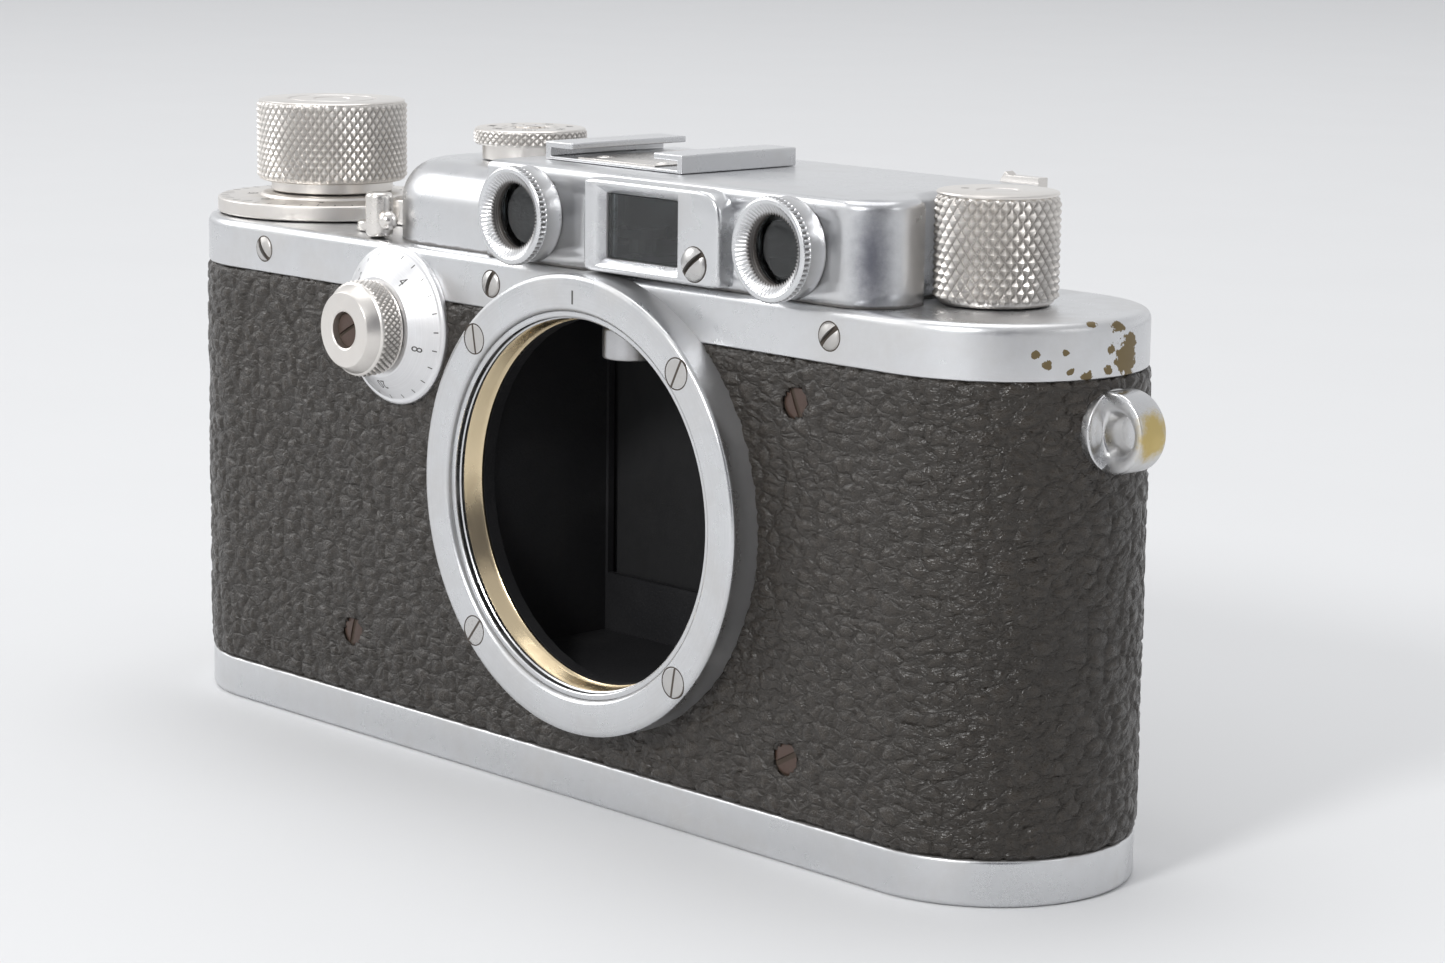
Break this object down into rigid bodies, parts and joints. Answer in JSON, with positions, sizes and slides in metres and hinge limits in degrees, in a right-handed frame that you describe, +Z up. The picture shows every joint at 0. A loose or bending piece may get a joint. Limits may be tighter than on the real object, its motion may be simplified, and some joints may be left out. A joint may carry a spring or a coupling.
{
  "type": "rangefinder camera body",
  "caption": "Coupled-rangefinder film camera body with screw lens mount, knurled wind and rewind knobs, two speed dials, accessory shoe and lift-off base.",
  "frame": {"origin": "middle of the flat underside of the base plate", "axes": "+X along the body towards the rewind knob, -Y out of the lens mount, +Z up"},
  "size_m": [0.1436, 0.0372, 0.0688],
  "materials": {
    "satin_chrome": "satin, lightly rubbed, brass showing at worn edges",
    "nickel": "warm bright nickel",
    "steel": "brushed",
    "brass": "turned, tarnished",
    "black_paint": "matt black",
    "leather": "pebbled dark brown-grey, satin",
    "cloth": "rubberised black cloth",
    "rusty_steel": "darkened, rusty",
    "window_glass": "dark coated glass",
    "mirror": "half silvered"
  },
  "bodies": {
    "camera_body": {"body_shell": "black_paint", "leather_covering": "leather", "top_plate": "satin_chrome", "lens_mount_ring": "satin_chrome", "lens_thread_sleeve": "brass", "mount_screw_1": "satin_chrome", "mount_screw_2": "satin_chrome", "mount_screw_3": "satin_chrome", "mount_screw_4": "satin_chrome", "light_box": "black_paint", "film_gate": "black_paint", "pressure_plate": "steel", "mechanism_plate": "black_paint", "shutter_curtain": "cloth", "rangefinder_housing": "satin_chrome", "finder_window_plate": "satin_chrome", "finder_plate_screw": "nickel", "finder_glass": "window_glass", "rf_bezel_left": "satin_chrome", "rf_bezel_right": "satin_chrome", "rf_glass_left": "window_glass", "rf_glass_right": "window_glass", "finder_eyepiece": "nickel", "rf_eyepiece": "nickel", "finder_eye_lens": "window_glass", "rf_eye_lens": "window_glass", "rf_half_mirror": "mirror", "accessory_shoe": "satin_chrome", "release_collar": "satin_chrome", "slow_dial_plate": "satin_chrome", "strap_lug_right": "satin_chrome", "strap_lug_left": "satin_chrome", "skirt_screw_1": "nickel", "skirt_screw_2": "nickel", "skirt_screw_3": "nickel", "body_screw_1": "rusty_steel", "body_screw_2": "rusty_steel", "body_screw_3": "rusty_steel"},
    "base": {"base_plate": "satin_chrome", "tripod_socket": "steel"},
    "base_key": {"base_lock_key": "satin_chrome"},
    "base_bail": {"base_key_bail": "nickel"},
    "winding": {"winding_knob": "nickel"},
    "counter": {"counter_dial": "satin_chrome"},
    "spool": {"take_up_spool": "black_paint"},
    "sprocket": {"film_sprocket": "steel"},
    "drum": {"shutter_drum": "steel"},
    "curtain_roll": {"curtain_roller": "steel"},
    "speed_post": {"speed_dial_post": "steel"},
    "speed_dial": {"speed_dial": "nickel"},
    "slow_dial": {"slow_dial_knob": "nickel", "slow_dial_screw": "brass"},
    "release": {"release_button": "nickel"},
    "lever": {"advance_lever": "nickel"},
    "rf_arm": {"rf_coupling_arm": "steel", "rf_cam_roller": "nickel", "rf_turning_prism": "window_glass"},
    "diopter": {"diopter_lever": "nickel"},
    "rewind_shaft": {"rewind_fork": "steel"},
    "rewind_knob": {"rewind_knob": "nickel"}
  },
  "joints": [
    {"name": "base_release", "type": "slide", "parent": "camera_body", "child": "base", "axis": [0, 0, 1], "range_m": [-0.03, 0]},
    {"name": "key_turn", "type": "hinge", "parent": "base", "child": "base_key", "pos_m": [0.0505, 0, 0], "axis": [0, 0, 1], "range_deg": [0, 180]},
    {"name": "bail_fold", "type": "hinge", "parent": "base_key", "child": "base_bail", "pos_m": [0.0505, 0.0003, 0.00043], "axis": [1, 0, 0], "range_deg": [-90, 0]},
    {"name": "winding_turn", "type": "hinge", "parent": "camera_body", "child": "winding", "pos_m": [-0.0525, 0, 0.06], "axis": [0, 0, 1], "continuous": true},
    {"name": "counter_turn", "type": "hinge", "parent": "camera_body", "child": "counter", "pos_m": [-0.0525, 0, 0.057], "axis": [0, 0, 1], "continuous": true},
    {"name": "spool_turn", "type": "hinge", "parent": "camera_body", "child": "spool", "pos_m": [-0.0525, 0, 0.03], "axis": [0, 0, 1], "continuous": true},
    {"name": "sprocket_turn", "type": "hinge", "parent": "camera_body", "child": "sprocket", "pos_m": [-0.0354, 0, 0.03], "axis": [0, 0, 1], "continuous": true},
    {"name": "drum_turn", "type": "hinge", "parent": "camera_body", "child": "drum", "pos_m": [-0.0171, 0, 0.03], "axis": [0, 0, 1], "continuous": true},
    {"name": "curtain_roll_turn", "type": "hinge", "parent": "camera_body", "child": "curtain_roll", "pos_m": [0.0362, 0.0024, 0.03], "axis": [0, 0, 1], "continuous": true},
    {"name": "speed_turn", "type": "hinge", "parent": "camera_body", "child": "speed_post", "pos_m": [-0.0171, 0, 0.067], "axis": [0, 0, 1], "continuous": true},
    {"name": "speed_lift", "type": "slide", "parent": "speed_post", "child": "speed_dial", "axis": [0, 0, 1], "range_m": [0, 0.0015], "stiffness_N_per_m": 300, "springref_m": -0.001},
    {"name": "slow_turn", "type": "hinge", "parent": "camera_body", "child": "slow_dial", "pos_m": [-0.0218, -0.018, 0.0469], "axis": [0, -1, 0], "range_deg": [0, 250]},
    {"name": "release_press", "type": "slide", "parent": "camera_body", "child": "release", "axis": [0, 0, 1], "range_m": [-0.002, 0], "stiffness_N_per_m": 400, "springref_m": 0.001},
    {"name": "lever_swing", "type": "hinge", "parent": "camera_body", "child": "lever", "pos_m": [-0.0336, -0.0088, 0.056], "axis": [0, 0, 1], "range_deg": [-35, 0]},
    {"name": "rf_swing", "type": "hinge", "parent": "camera_body", "child": "rf_arm", "pos_m": [-0.0007, 0.002, 0.054], "axis": [0, 0, 1], "range_deg": [0, 8], "stiffness_Nm_per_rad": 0.02, "springref_deg": -11.46},
    {"name": "diopter_swing", "type": "hinge", "parent": "camera_body", "child": "diopter", "pos_m": [0.0375, 0.0137, 0.0606], "axis": [0, 1, 0], "range_deg": [-30, 40]},
    {"name": "rewind_turn", "type": "hinge", "parent": "camera_body", "child": "rewind_shaft", "pos_m": [0.0516, 0, 0.05], "axis": [0, 0, 1], "continuous": true},
    {"name": "rewind_lift", "type": "slide", "parent": "rewind_shaft", "child": "rewind_knob", "axis": [0, 0, 1], "range_m": [0, 0.006]}
  ],
  "couplings": [
    {"joint": "counter_turn", "follows": "winding_turn", "ratio": 0.025},
    {"joint": "spool_turn", "follows": "winding_turn", "ratio": 1},
    {"joint": "sprocket_turn", "follows": "winding_turn", "ratio": -1},
    {"joint": "drum_turn", "follows": "winding_turn", "ratio": -1},
    {"joint": "curtain_roll_turn", "follows": "winding_turn", "ratio": -2}
  ]
}
